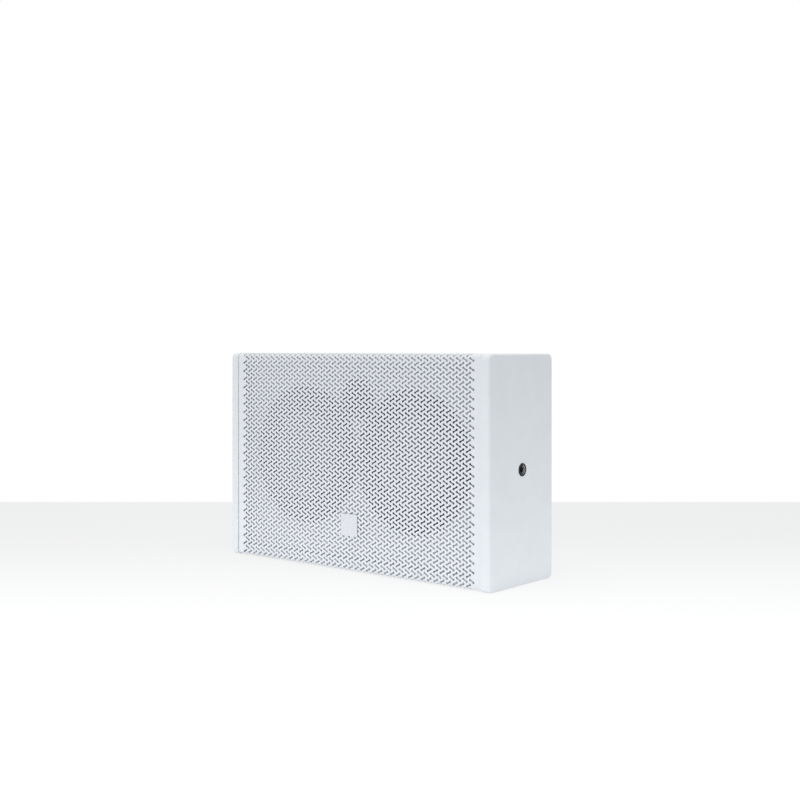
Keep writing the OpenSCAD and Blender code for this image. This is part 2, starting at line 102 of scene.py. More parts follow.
# How much real light shows on it, and its colour for the light that it throws back
TABLE_SHADE = (0.2, 0.2, 0.2)
TABLE_BOUNCE = (0.79, 0.82, 0.86)
# It gives light round the object's foot: how strongly, and where this begins, is full, wanes and ends
TABLE_LIT = 0.6
TABLE_LIT_STEPS = (-0.012, 0.014, 0.10, 0.76)

# Light from all round, and lamps: place, aim, width, height and watts
FILL_LIGHT = (0.625, 0.64, 0.66)
LAMPS = {
    "sky_lamp": ((0.05, -0.2, 1.8), (0.05, -0.1, 0), 1.2, 1.2, 10),
    "front_lamp": ((0.2, -2.6, 1.0), (0, 0, 0.12), 1.8, 1.2, 8),
}

# Wave texture: the width of a band at scale 1. Noise texture: the span where most of its values lie
WAVE_BAND = 0.314
NOISE_SPAN = (0.25, 0.75)

# Points nearer than this are one point. Edges of the boards, and of the thinner pieces
WELD_GAP = 1e-6
BOARD_EDGE = 0.9 * MM
THIN_EDGE = 0.6 * MM
EDGE_SEGMENTS = 3

# Grille: the round ends of the slots lie on a triangular lattice
SHEET_T = 1.5 * MM
FOLD_R = 6 * MM
FOLD_STEPS = 6
LATTICE = 6.5 * MM
SLOT_COLUMN = LATTICE * math.sqrt(3)
SLOT_COLUMNS = 40
SLOT_ROWS = 50
FIRST_SLOT_X = -222.35 * MM
FIRST_SLOT_Z = 319.0 * MM
SLOT_TILT = math.radians(30)
SLOT_END_R = 0.29 * LATTICE
SLOT_NECK = 0.15 * LATTICE
SLOT_ARC_POINTS = 8
GRILLE_SCREW_X = 150 * MM
GRILLE_SCREW_HOLE_R = 3.5 * MM

# Screws: head radius, head height, shank radius and length
GRILLE_SCREW = (3.4 * MM, SHEET_T, 1.75 * MM, 12 * MM)
PLATE_SCREW = (3.2 * MM, 2 * MM, 1.75 * MM, 12 * MM)
SOCKET_SCREW = (2.7 * MM, 1.6 * MM, 1.5 * MM, 9 * MM)
DRIVER_SCREW = (4 * MM, 2.4 * MM, 2 * MM, 14 * MM)
SOCKET_SCREW_X = 9.6 * MM
SOCKET_SCREW_Z = 12.1 * MM

# Badge plate: what lies further back than this depth behind its face gets a darker grey, painted shade
# round its edge
BADGE_CORNER = 2 * MM
BADGE_EDGE_R = 0.7 * MM
BADGE_SHADE_DEPTH = 0.3 * MM

# Drivers, measured forwards from the baffle and outwards from the axis, which lies below a basket's top
FRAME_T = 2 * MM
ROLL_IN = 70 * MM
ROLL_OUT = 88.5 * MM
ROLL_H = 6.5 * MM
ROLL_T = 0.8 * MM
LIP = 5 * MM
CONE_RIM = 71 * MM
CONE_T = 1.2 * MM
CONE_NECK_R = 24.85 * MM
CONE_CURVE = 0.86
NECK_Z = -28 * MM
FORMER_OUT = 25.2 * MM
GLUE_GAP = 0.05 * MM
CAP_R = 33 * MM
CAP_H = 9 * MM
CAP_T = 0.8 * MM
SPIDER_R = 60 * MM
SPIDER_Z = -31.5 * MM
SPIDER_T = 0.6 * MM
SPIDER_WAVES = 4
SPIDER_WAVE_H = 1.3 * MM
SPIDER_LEDGE_Z = -34 * MM
SCREW_CIRCLE = 99.5 * MM
DRIVER_SCREWS = 8
AXIS_BELOW_TOP = 104 * MM
TINSEL_R = 0.6 * MM

# Leads, and half sizes of the wadding's holes round the dish and the brace
LEAD_R = 1.3 * MM
DISH_HOLE = (62 * MM, 39 * MM)
BRACE_HOLE = (14 * MM, 27 * MM)
LUMPS_PER_METRE = 70


def material_nodes(name):
    made = bpy.data.materials.new(name)
    made.use_nodes = True
    tree = made.node_tree
    return made, tree, tree.nodes["Principled BSDF"]


def wire(tree, start, end):
    tree.links.new(start, end)


def combined(tree, operation, one, other):
    """The result of an operation on two values."""
    step = tree.nodes.new("ShaderNodeMath")
    step.operation = operation
    wire(tree, one, step.inputs[0])
    wire(tree, other, step.inputs[1])
    return step.outputs[0]


def spread(tree, value, start, end, low, high, kind="LINEAR"):
    """Goes from low to high while a value goes from start to end."""
    made = tree.nodes.new("ShaderNodeMapRange")
    made.interpolation_type = kind
    made.inputs["From Min"].default_value = start
    made.inputs["From Max"].default_value = end
    made.inputs["To Min"].default_value = low
    made.inputs["To Max"].default_value = high
    wire(tree, value, made.inputs["Value"])
    return made.outputs["Result"]


def noise_of(tree, size, detail=4.0, stretch=(1, 1, 1)):
    """A noise whose features are about size metres across, stretched along the axes."""
    coordinates = tree.nodes.new("ShaderNodeTexCoord")
    mapping = tree.nodes.new("ShaderNodeMapping")
    mapping.inputs["Scale"].default_value = [1 / s for s in stretch]
    wire(tree, coordinates.outputs["Object"], mapping.inputs["Vector"])
    texture = tree.nodes.new("ShaderNodeTexNoise")
    texture.inputs["Scale"].default_value = 1 / size
    texture.inputs["Detail"].default_value = detail
    wire(tree, mapping.outputs["Vector"], texture.inputs["Vector"])
    return texture.outputs["Fac"]


def bands_of(tree, size, axis, distortion):
    """Wavy bands about size metres wide, across one axis."""
    coordinates = tree.nodes.new("ShaderNodeTexCoord")
    texture = tree.nodes.new("ShaderNodeTexWave")
    texture.bands_direction = axis
    texture.inputs["Scale"].default_value = WAVE_BAND / size
    texture.inputs["Distortion"].default_value = distortion
    texture.inputs["Detail"].default_value = 2.0
    wire(tree, coordinates.outputs["Object"], texture.inputs["Vector"])
    return texture.outputs["Fac"]


def tone(tree, shader, pattern, dark, light, low=0.3, high=0.7):
    """Colours the surface between two tones by a pattern."""
    ramp = tree.nodes.new("ShaderNodeValToRGB")
    ramp.color_ramp.elements[0].position = low
    ramp.color_ramp.elements[1].position = high
    ramp.color_ramp.elements[0].color = (*dark, 1)
    ramp.color_ramp.elements[1].color = (*light, 1)
    wire(tree, pattern, ramp.inputs["Fac"])
    wire(tree, ramp.outputs["Color"], shader.inputs["Base Color"])


def gloss(tree, shader, pattern, low, high):
    """Sets the roughness between two values by a pattern."""
    wire(tree, spread(tree, pattern, *NOISE_SPAN, low, high), shader.inputs["Roughness"])


def relief(tree, shader, pattern, strength, depth):
    """Raises the surface by a pattern, depth metres at most."""
    bump = tree.nodes.new("ShaderNodeBump")
    bump.inputs["Strength"].default_value = strength
    bump.inputs["Distance"].default_value = depth
    wire(tree, pattern, bump.inputs["Height"])
    wire(tree, bump.outputs["Normal"], shader.inputs["Normal"])


def finish(name, dark, light, rough, grain=4 * MM, fine=0.8 * MM, strength=0.25, depth=0.05 * MM,
           metal=0.0, specular=0.5, coat=0.0, sheen=0.0):
    """A surface with mottled colour, uneven gloss and a fine relief."""
    made, tree, shader = material_nodes(name)
    shader.inputs["Metallic"].default_value = metal
    shader.inputs["Specular IOR Level"].default_value = specular
    if coat:
        shader.inputs["Coat Weight"].default_value = coat
        shader.inputs["Coat Roughness"].default_value = 0.3
    if sheen:
        shader.inputs["Sheen Weight"].default_value = sheen
    tone(tree, shader, noise_of(tree, grain, 5), dark, light)
    gloss(tree, shader, noise_of(tree, grain * 0.6, 3), *rough)
    relief(tree, shader, noise_of(tree, fine, 3), strength, depth)
    return made


def plywood():
    """Bare plywood: long wavy grain under fine pores."""
    made, tree, shader = material_nodes("bare_plywood")
    shader.inputs["Specular IOR Level"].default_value = 0.3
    grain = bands_of(tree, 5 * MM, "Z", 6)
    tone(tree, shader, grain, (0.46, 0.31, 0.17), (0.66, 0.49, 0.30), 0.1, 0.9)
    gloss(tree, shader, noise_of(tree, 3 * MM), 0.6, 0.8)
    relief(tree, shader, noise_of(tree, 0.6 * MM, 4, (1, 12, 1)), 0.5, 0.2 * MM)
    return made


def woven(name, dark, light, thread, rough):
    """Cloth or braid: two sets of fine bands that cross."""
    made, tree, shader = material_nodes(name)
    across = bands_of(tree, thread, "X", 0.3)
    along = bands_of(tree, thread, "Z", 0.3)
    both = combined(tree, "MULTIPLY", across, along)
    tone(tree, shader, both, dark, light, 0.0, 0.8)
    gloss(tree, shader, noise_of(tree, 2 * MM), *rough)
    relief(tree, shader, both, 0.6, thread * 0.4)
    return made


MATERIALS = {
    "white_board": finish("white_board", (0.772, 0.788, 0.800), (0.798, 0.812, 0.822), (0.42, 0.52),
                          grain=26 * MM, fine=1.1 * MM, strength=0.22, depth=0.05 * MM),
    "white_steel": finish("white_steel", (0.770, 0.782, 0.806), (0.796, 0.806, 0.826), (0.36, 0.46),
                          grain=18 * MM, fine=0.7 * MM, strength=0.2, depth=0.03 * MM),
    "white_badge": finish("white_badge", (0.716, 0.728, 0.738), (0.744, 0.754, 0.764), (0.34, 0.42),
                          grain=9 * MM, fine=0.5 * MM, strength=0.12, depth=0.02 * MM),
    "bare_plywood": plywood(),
    "black_plastic": finish("black_plastic", (0.009, 0.009, 0.010), (0.014, 0.014, 0.015), (0.50, 0.64),
                            grain=6 * MM, fine=0.5 * MM, strength=0.3, depth=0.04 * MM, specular=0.25),
    "socket_plastic": finish("socket_plastic", (0.020, 0.021, 0.024), (0.030, 0.031, 0.035), (0.34, 0.46),
                             grain=5 * MM, fine=0.4 * MM, strength=0.2, depth=0.03 * MM),
    "black_steel": finish("black_steel", (0.080, 0.080, 0.082), (0.110, 0.110, 0.113), (0.34, 0.48),
                          grain=8 * MM, fine=0.6 * MM, strength=0.25, depth=0.04 * MM),
    "plated_steel": finish("plated_steel", (0.48, 0.48, 0.46), (0.66, 0.66, 0.64), (0.24, 0.40),
                           grain=2.5 * MM, fine=0.3 * MM, strength=0.15, depth=0.02 * MM, metal=1.0),
    "contact_metal": finish("contact_metal", (0.62, 0.48, 0.22), (0.78, 0.63, 0.33), (0.20, 0.34),
                            grain=2 * MM, fine=0.25 * MM, strength=0.1, depth=0.02 * MM, metal=1.0),
    "lead_insulation": finish("lead_insulation", (0.26, 0.020, 0.014), (0.36, 0.035, 0.024), (0.40, 0.54),
                              grain=3 * MM, fine=0.4 * MM, strength=0.12, depth=0.02 * MM),
    "wadding": finish("wadding", (0.58, 0.57, 0.54), (0.80, 0.79, 0.76), (0.85, 0.98),
                      grain=3 * MM, fine=0.9 * MM, strength=0.9, depth=0.8 * MM, sheen=0.3, specular=0.2),
    "rubber": finish("rubber", (0.110, 0.110, 0.112), (0.150, 0.150, 0.153), (0.56, 0.70),
                     grain=7 * MM, fine=0.6 * MM, strength=0.2, depth=0.03 * MM, specular=0.35),
    "black_paper": finish("black_paper", (0.300, 0.302, 0.306), (0.390, 0.392, 0.396), (0.72, 0.88),
                          grain=3 * MM, fine=0.7 * MM, strength=0.7, depth=0.12 * MM, specular=0.25),
    "spider_cloth": woven("spider_cloth", (0.30, 0.17, 0.04), (0.55, 0.36, 0.12), 0.5 * MM, (0.7, 0.85)),
    "former_film": finish("former_film", (0.34, 0.17, 0.04), (0.46, 0.25, 0.07), (0.24, 0.36),
                          grain=5 * MM, fine=0.8 * MM, strength=0.08, depth=0.02 * MM, coat=0.3),
    "copper_winding": finish("copper_winding", (0.55, 0.20, 0.08), (0.72, 0.31, 0.14), (0.22, 0.34),
                             grain=2 * MM, fine=0.3 * MM, strength=0.1, depth=0.02 * MM, metal=1.0),
    "ferrite": finish("ferrite", (0.028, 0.028, 0.030), (0.052, 0.052, 0.055), (0.48, 0.66),
                      grain=4 * MM, fine=0.5 * MM, strength=0.35, depth=0.06 * MM),
    "fibre_board": finish("fibre_board", (0.16, 0.055, 0.024), (0.24, 0.090, 0.042), (0.46, 0.60),
                          grain=1.5 * MM, fine=0.4 * MM, strength=0.25, depth=0.03 * MM),
    "tinsel_braid": woven("tinsel_braid", (0.34, 0.17, 0.06), (0.72, 0.48, 0.26), 0.35 * MM, (0.3, 0.45)),
}
PORT_GREY = finish("port_grey", (0.150, 0.150, 0.153), (0.200, 0.200, 0.204), (0.50, 0.64),
                   grain=6 * MM, fine=0.5 * MM, strength=0.3, depth=0.04 * MM, specular=0.25)
# Painted shade: a darker grey for the badge's edge and back, standing in for the shadow round the raised
# plate
BADGE_PAINTED_SHADE = finish("badge_painted_shade", (0.330, 0.336, 0.342), (0.380, 0.386, 0.392), (0.40, 0.50),
                    grain=4 * MM, fine=0.5 * MM, strength=0.12, depth=0.02 * MM)
WORN_RIM = finish("worn_rim", (0.34, 0.34, 0.34), (0.50, 0.50, 0.50), (0.26, 0.40),
                  grain=1.2 * MM, fine=0.2 * MM, strength=0.15, depth=0.01 * MM, metal=1.0)


def paint(obj, made, *more):
    obj.data.materials.clear()
    for m in (made, *more):
        obj.data.materials.append(m)


def new_piece(name, points, faces, body, node, more=(), sharp=35):
    """A mesh piece that stands for a node, rides on a body and takes the node's slot."""
    mesh = bpy.data.meshes.new(name)
    mesh.from_pydata([tuple(p) for p in points], [], faces)
    mesh.polygons.foreach_set("use_smooth", [True] * len(faces))
    mesh.set_sharp_from_angle(angle=math.radians(sharp))
    mesh.update()
    piece = bpy.data.objects.new(name, mesh)
    bpy.context.scene.collection.objects.link(piece)
    paint(piece, MATERIALS[SLOT_OF[node]], *more)
    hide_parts(node)
    if body:
        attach(piece, body)
    return piece


def joined(parts):
    """Several (points, faces) as one."""
    points, faces = [], []
    for part_points, part_faces in parts:
        start = len(points)
        points += part_points
        faces += [[start + i for i in face] for face in part_faces]
    return points, faces


def placed(part, matrix):
    return [matrix @ Vector(p) for p in part[0]], part[1]


def turned(profile, steps, closed=True):
    """Turns (radius, height) points round +Z.
    A closed profile is a ring; an open one ends on the axis."""
    rows = len(profile)
    points = []
    for i in range(steps):
        a = TURN * i / steps
        points += [Vector((r * math.cos(a), r * math.sin(a), h)) for r, h in profile]
    faces = []
    for i in range(steps):
        here, there = i * rows, (i + 1) % steps * rows
        for k in range(rows if closed else rows - 1):
            n = (k + 1) % rows
            faces.append([here + k, there + k, there + n, here + n])
    return points, faces


def welded(part):
    """Drops doubled points, such as those on a profile's axis, and the faces that they empty."""
    seen, where, points = {}, [], []
    for p in part[0]:
        key = tuple(round(c / WELD_GAP) for c in p)
        if key not in seen:
            seen[key] = len(points)
            points.append(p)
        where.append(seen[key])
    faces = []
    for face in part[1]:
        kept = []
        for i in face:
            if where[i] not in kept:
                kept.append(where[i])
        if len(kept) > 2:
            faces.append(kept)
    return points, faces


def tube(path, radius, sides=12):
    """A round wire along a path, with flat ends."""
    points = []
    aside = (path[1] - path[0]).orthogonal().normalized()
    for i, p in enumerate(path):
        along = (path[min(i + 1, len(path) - 1)] - path[max(i - 1, 0)]).normalized()
        aside = (aside - along * aside.dot(along)).normalized()
        third = along.cross(aside)
        for k in range(sides):
            a = TURN * k / sides
            points.append(p + radius * (math.cos(a) * aside + math.sin(a) * third))
    faces = []
    for i in range(len(path) - 1):
        for k in range(sides):
            n = (k + 1) % sides
            faces.append([i * sides + k, i * sides + n, (i + 1) * sides + n, (i + 1) * sides + k])
    last = (len(path) - 1) * sides
    faces.append(list(range(sides))[::-1])
    faces.append([last + k for k in range(sides)])
    return points, faces


def bezier(corners, steps, straight=0.0):
    """A smooth curve, with a straight length at both ends where it meets its pieces squarely."""
    start, b, c, end = (Vector(p) for p in corners)
    a = start + (b - start).normalized() * straight
    d = end + (c - end).normalized() * straight
    path = []
    for i in range(steps + 1):
        t = i / steps
        s = 1 - t
        path.append(a * s ** 3 + b * 3 * s * s * t + c * 3 * s * t * t + d * t ** 3)
    return [start, *path, end] if straight else path


def pierced(outline, holes, lines, place, thickness):
    """A sheet with holes, cut flat and then put in place by place(u, v, depth).
    Lines are extra cuts along which it can fold."""
    flat, edges, rings = [], [], []
    for ring in [outline, *holes]:
        start = len(flat)
        flat += [Vector(p) for p in ring]
        rings.append(list(range(start, len(flat))))
    for a, b in lines:
        edges.append((len(flat), len(flat) + 1))
        flat += [Vector(a), Vector(b)]
    found = delaunay_2d_cdt(flat, edges, rings, 1, 1e-7)
    spots, triangles = found[0], [t for t, source in zip(found[2], found[5]) if list(source) == [0]]
    used = sorted({i for t in triangles for i in t})
    number = {old: new for new, old in enumerate(used)}
    count = len(used)
    points = [place(*spots[i], 0.0) for i in used] + [place(*spots[i], thickness) for i in used]
    front = [[number[i] for i in t] for t in triangles]
    owner = {}
    for t in front:
        for a, b in ((t[0], t[1]), (t[1], t[2]), (t[2], t[0])):
            owner[(a, b)] = True
    walls = [[b, a, a + count, b + count] for a, b in owner if (b, a) not in owner]
    back = [[i + count for i in reversed(t)] for t in front]
    return points, front + back + walls


def circle(x, y, radius):
    steps = 24
    return [(x + radius * math.cos(TURN * i / steps), y + radius * math.sin(TURN * i / steps))
            for i in range(steps)]


# Grille

grille_low, grille_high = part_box("grille")


def folded(u, v, depth):
    """Where a point of the flat grille sheet lies once its top and bottom are folded back."""
    neutral = FOLD_R - SHEET_T / 2
    for fold_z, up in ((grille_high.z - FOLD_R, 1), (grille_low.z + FOLD_R, -1)):
        past = (v - fold_z) * up
        if past > 0:
            turn = min(past / neutral, math.pi / 2)
            run = max(0.0, past - neutral * math.pi / 2)
            r = FOLD_R - depth
            return Vector((u, grille_low.y + FOLD_R - r * math.cos(turn) + run,
                           fold_z + up * r * math.sin(turn)))
    return Vector((u, grille_low.y + depth, v))


def slot_outline(x, z, tilt):
    """Two round ends joined by a narrower neck."""
    neck = math.asin(SLOT_NECK / SLOT_END_R)
    sweep = TURN - 2 * neck
    points = []
    for end in (0, math.pi):
        for i in range(SLOT_ARC_POINTS):
            a = neck - math.pi + sweep * i / (SLOT_ARC_POINTS - 1)
            p = Vector((LATTICE / 2 + SLOT_END_R * math.cos(a), SLOT_END_R * math.sin(a)))
            turn = tilt + end
            points.append((x + p.x * math.cos(turn) - p.y * math.sin(turn),
                           z + p.x * math.sin(turn) + p.y * math.cos(turn)))
    return points


def grille():
    """The folded sheet with its slots and screw holes."""
    width = grille_high.x
    fold_run = (FOLD_R - SHEET_T / 2) * math.pi / 2
    flange = grille_high.y - grille_low.y - FOLD_R
    top, bottom = grille_high.z - FOLD_R, grille_low.z + FOLD_R
    high, low = top + fold_run + flange, bottom - fold_run - flange
    screw_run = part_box("grille_screws")[0].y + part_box("grille_screws")[1].y
    screw_v = screw_run / 2 - grille_low.y - FOLD_R + fold_run
    holes = []
    for row in range(SLOT_ROWS):
        lean = row % 2
        for column in range(SLOT_COLUMNS):
            holes.append(slot_outline(FIRST_SLOT_X + (column + lean / 2) * SLOT_COLUMN,
                                      FIRST_SLOT_Z - row * LATTICE, SLOT_TILT * (1 - 2 * lean)))
    for x in (-GRILLE_SCREW_X, GRILLE_SCREW_X):
        holes.append(circle(x, top + screw_v, GRILLE_SCREW_HOLE_R))
        holes.append(circle(x, bottom - screw_v, GRILLE_SCREW_HOLE_R))
    lines = []
    for i in range(FOLD_STEPS + 1):
        run = fold_run * i / FOLD_STEPS
        lines.append(((-width, top + run), (width, top + run)))
        lines.append(((-width, bottom - run), (width, bottom - run)))
    outline = [(-width, low), (width, low), (width, high), (-width, high)]
    points, faces = pierced(outline, holes, lines, folded, SHEET_T)
    new_piece("slotted_grille", points, faces, "cabinet", "grille", sharp=30)


def slab(width, height, thickness, corner, edge):
    """A plate in XY with round corners and a soft upper edge, from z 0 up to its thickness."""
    steps = 6
    loops = [(0.0, 0.0)]
    for i in range(steps + 1):
        a = math.pi / 2 * i / steps
        loops.append((edge * (1 - math.cos(a)), thickness - edge + edge * math.sin(a)))
    points = []
    for inset, z in loops:
        r = max(corner - inset, 0.2 * MM)
        for sx, sy, start in ((1, 1, 0), (-1, 1, 1), (-1, -1, 2), (1, -1, 3)):
            for i in range(steps + 1):
                a = (start + i / steps) * math.pi / 2
                points.append(Vector((sx * (width / 2 - inset - r) + r * math.cos(a),
                                      sy * (height / 2 - inset - r) + r * math.sin(a), z)))
    count = 4 * (steps + 1)
    faces = []
    for k in range(len(loops) - 1):
        for i in range(count):
            n = (i + 1) % count
            faces.append([k * count + i, k * count + n, (k + 1) * count + n, (k + 1) * count + i])
    faces.append([(len(loops) - 1) * count + i for i in range(count)])
    faces.append(list(range(count))[::-1])
    return points, faces


def badge_place():
    """The raised plate, with a darker grey painted round its edge as painted shade."""
    low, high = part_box("badge_plate")
    part = slab(high.x - low.x, high.z - low.z, high.y - low.y, BADGE_CORNER, BADGE_EDGE_R)
    centre = (low + high) / 2
    matrix = Matrix.Translation((centre.x, high.y, centre.z)) @ Matrix.Rotation(math.pi / 2, 4, "X")
    piece = new_piece("badge_plate_with_painted_shade", *placed(part, matrix), "cabinet", "badge_plate",
                      more=(BADGE_PAINTED_SHADE,), sharp=50)
    # What lies further back than the face takes the darker grey: painted shade
    for polygon in piece.data.polygons:
        if polygon.center.y > low.y + BADGE_SHADE_DEPTH:
            polygon.material_index = 1


# Threads and screws


def thread_radius(angle, z, pitch, low, high):
    """Radius of a thread at an angle and height, a rounded triangle between low and high."""
    phase = (z / pitch - angle / TURN) % 1.0
    return low + (high - low) * (0.5 - 0.5 * math.cos(TURN * phase))


def side_insert(side):
    """A round insert with a threaded hole, a worn bevel at its mouth and a dark face."""
    name = side + "_mount_insert"
    low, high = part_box(name)
    outer = (high.z - low.z) / 2
    length = high.x - low.x
    minor, major, pitch = 4.25 * MM, 4.95 * MM, 1.5 * MM
    depth, mouth, bevel, steps = 11.4 * MM, 0.4 * MM, 0.3 * MM, 48
    rows = int((depth - mouth) / (pitch / 8))
    profile = [(outer, 0.0), (outer, length - bevel), (outer - bevel, length),
               (minor + mouth, length), (minor + 0.05 * MM, length - mouth)]
    fixed = len(profile)
    heights = [length - mouth - (depth - mouth) * (i + 1) / rows for i in range(rows)]
    points, faces = [], []
    for i in range(steps):
        a = TURN * i / steps
        ring = profile + [(thread_radius(a, h, pitch, minor, major), h) for h in heights]
        ring += [(0.0, heights[-1])]
        points += [Vector((r * math.cos(a), r * math.sin(a), h)) for r, h in ring]
    count = fixed + rows + 1
    for i in range(steps):
        here, there = i * count, (i + 1) % steps * count
        faces += [[here + k, there + k, there + k + 1, here + k + 1] for k in range(count - 1)]
    faces.append([i * count for i in range(steps)][::-1])
    centre = (low + high) / 2
    inside = low.x if SIDES[side] > 0 else high.x
    matrix = (Matrix.Translation((inside, centre.y, centre.z))
              @ Matrix.Rotation(SIDES[side] * math.pi / 2, 4, "Y"))
    part = welded(placed((points, faces), matrix))
    piece = new_piece(side + "_threaded_insert", *part, "cabinet", name)
    paint(piece, MATERIALS["black_plastic"], WORN_RIM)
    for polygon in piece.data.polygons:
        middle = polygon.center
        r = math.hypot(middle.y - centre.y, middle.z - centre.z)
        out = abs(middle.x - inside)
        if minor < r < minor + mouth and out > length - mouth * 1.2:
            polygon.material_index = 1


def insert_ring(side):
    """The flat black ring round an insert, with a soft outer edge."""
    name = side + "_insert_ring"
    low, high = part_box(name)
    outer, thickness = (high.z - low.z) / 2, high.x - low.x
    inner = 6.95 * MM
    profile = [(inner, 0.0), (inner, thickness - 0.2 * MM), (inner + 0.2 * MM, thickness)]
    for i in range(9):
        a = math.pi / 2 * i / 8
        profile.append((outer - thickness * (1 - math.sin(a)), thickness * math.cos(a)))
    centre = (low + high) / 2
    inside = low.x if SIDES[side] > 0 else high.x
    matrix = (Matrix.Translation((inside, centre.y, centre.z))
              @ Matrix.Rotation(SIDES[side] * math.pi / 2, 4, "Y"))
    part = turned(profile[::-1], 72)
    new_piece(side + "_ring", *placed(part, matrix), "cabinet", name)


def screw(head_r, head_h, shank_r, length, sunk=False):
    """A screw with a domed or sunk head and a cross recess, its head towards +Z above z 0."""
    steps, rings = 48, 12
    slot, reach, deep = head_r * 0.13, head_r * 0.62, head_h * 0.75
    points = [Vector((0, 0, head_h - deep))]
    for k in range(1, rings + 1):
        share = k / rings
        for i in range(steps):
            a = TURN * i / steps
            x, y = head_r * share * math.cos(a), head_r * share * math.sin(a)
            arm = min(abs(x), abs(y))
            end = max(abs(x), abs(y))
            cut = max(0.0, min(1.0, (slot * 1.5 - arm) / (slot * 0.6)))
            cut *= max(0.0, min(1.0, (reach - end) / (head_r * 0.12)))
            dome = 0.0 if sunk else head_h * 0.45 * share ** 3
            points.append(Vector((x, y, head_h - dome - deep * cut)))
    faces = [[0, 1 + i, 1 + (i + 1) % steps] for i in range(steps)]
    for k in range(rings - 1):
        for i in range(steps):
            n = (i + 1) % steps
            a, b = 1 + k * steps, 1 + (k + 1) * steps
            faces.append([a + i, b + i, b + n, a + n])
    rim = 1 + (rings - 1) * steps
    start = len(points)
    pitch = shank_r * 0.7
    rows = int((length - shank_r) / (pitch / 4))
    for i in range(steps):
        a = TURN * i / steps
        column = [(shank_r if sunk else head_r, 0.0), (shank_r, 0.0)]
        for k in range(rows + 1):
            z = -(length - shank_r) * k / rows
            column.append((thread_radius(a, z, pitch, shank_r * 0.8, shank_r), z - 0.01 * MM))
        column.append((0.0, -length))
        points += [Vector((r * math.cos(a), r * math.sin(a), z)) for r, z in column]
    count = rows + 4
    for i in range(steps):
        here, there = start + i * count, start + (i + 1) % steps * count
        faces.append([rim + i, here, there, rim + (i + 1) % steps])
        faces += [[here + k, here + k + 1, there + k + 1, there + k] for k in range(count - 1)]
    return welded((points, faces))


def towards(place, direction, turn=0.0):
    """A matrix that puts +Z along a direction at a place."""
    rotation = Vector(direction).to_track_quat("Z", "Y").to_matrix().to_4x4()
    return Matrix.Translation(place) @ rotation @ Matrix.Rotation(turn, 4, "Z")


def screws():
    """The screws of the grille, the input plate, the sockets and the drivers."""
    low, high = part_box("grille_screws")
    y = (low.y + high.y) / 2
    head = screw(*GRILLE_SCREW, sunk=True)
    parts = []
    for x in (-GRILLE_SCREW_X, GRILLE_SCREW_X):
        parts.append(placed(head, towards((x, y, high.z - SHEET_T), (0, 0, 1), 0.4 + x)))
        parts.append(placed(head, towards((x, y, low.z + SHEET_T), (0, 0, -1), 1.1 + x)))
    new_piece("grille_fixing_screws", *joined(parts), "cabinet", "grille_screws")

    low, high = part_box("plate_screws")
    middle = (low + high) / 2
    out, proud = PLATE_SCREW[:2]
    head = screw(*PLATE_SCREW)
    parts = []
    for sx in (-1, 1):
        for sz in (-1, 1):
            place = (middle.x + sx * ((high.x - low.x) / 2 - out), high.y - proud,
                     middle.z + sz * ((high.z - low.z) / 2 - out))
            parts.append(placed(head, towards(place, (0, 1, 0), 0.5 * sx + 0.3 * sz)))
    new_piece("input_plate_screws", *joined(parts), "cabinet", "plate_screws")

    head = screw(*SOCKET_SCREW)
    parts = []
    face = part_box("socket_screws")[1].y - SOCKET_SCREW[1]
    for node, turn in (("input_socket", 0.3), ("link_socket", 0.9)):
        low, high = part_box(node)
        middle = (low + high) / 2
        for k in (-1, 1):
            place = (middle.x - k * SOCKET_SCREW_X, face, middle.z + k * SOCKET_SCREW_Z)
            parts.append(placed(head, towards(place, (0, 1, 0), turn * k)))
    new_piece("socket_fixing_screws", *joined(parts), "cabinet", "socket_screws")

    head = screw(*DRIVER_SCREW)
    for side in SIDES:
        parts = []
        for k in range(DRIVER_SCREWS):
            a = TURN * (k + 0.5) / DRIVER_SCREWS
            spot = Vector((SCREW_CIRCLE * math.cos(a), SCREW_CIRCLE * math.sin(a), FRAME_T))
            parts.append(placed(head, driver_frame(side) @ towards(spot, (0, 0, 1), 2.4 * k)))
        new_piece(side + "_driver_fixing_screws", *joined(parts), "cabinet", side + "_driver_screws")


# Drivers


def driver_frame(side):
    """The place of a driver: its axis forwards is +Z, from the baffle's face."""
    low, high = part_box(side + "_basket")
    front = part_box("baffle")[0].y
    centre = ((low.x + high.x) / 2, front, high.z - AXIS_BELOW_TOP)
    return Matrix.Translation(centre) @ Matrix.Rotation(math.pi / 2, 4, "X")


def cone_z(r):
    """Height of the cone's front at a radius."""
    share = (r - CONE_NECK_R) / (CONE_RIM - LIP - CONE_NECK_R)
    return NECK_Z + (FRAME_T - NECK_Z) * share ** CONE_CURVE


def blend_round(piece):
    """Bakes a ring's place into its mesh."""
    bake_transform(piece)


def surround(side):
    """A half roll between two flat lips."""
    half = (ROLL_OUT - ROLL_IN) / 2
    arc_r = (half * half + ROLL_H * ROLL_H) / (2 * ROLL_H)
    middle, centre_z = (ROLL_OUT + ROLL_IN) / 2, FRAME_T + ROLL_H - arc_r
    steps = 20
    upper, lower = [], []
    for r, lift, row in ((arc_r + ROLL_T / 2, ROLL_T, upper), (arc_r - ROLL_T / 2, 0.0, lower)):
        start = math.asin((FRAME_T + lift - centre_z) / r)
        for i in range(steps + 1):
            a = math.pi - start - (math.pi - 2 * start) * i / steps
            row.append((middle + r * math.cos(a), centre_z + r * math.sin(a)))
    inner, outer = ROLL_IN - LIP + 1 * MM, ROLL_OUT + LIP + 1 * MM
    profile = ([(inner, FRAME_T), (inner, FRAME_T + ROLL_T)] + upper
               + [(outer, FRAME_T + ROLL_T), (outer, FRAME_T)] + lower[::-1])
    part = placed(turned(profile[::-1], 128), driver_frame(side))
    piece = new_piece(side + "_roll_surround", *part, None, side + "_surround", sharp=50)
    blend_round(piece)


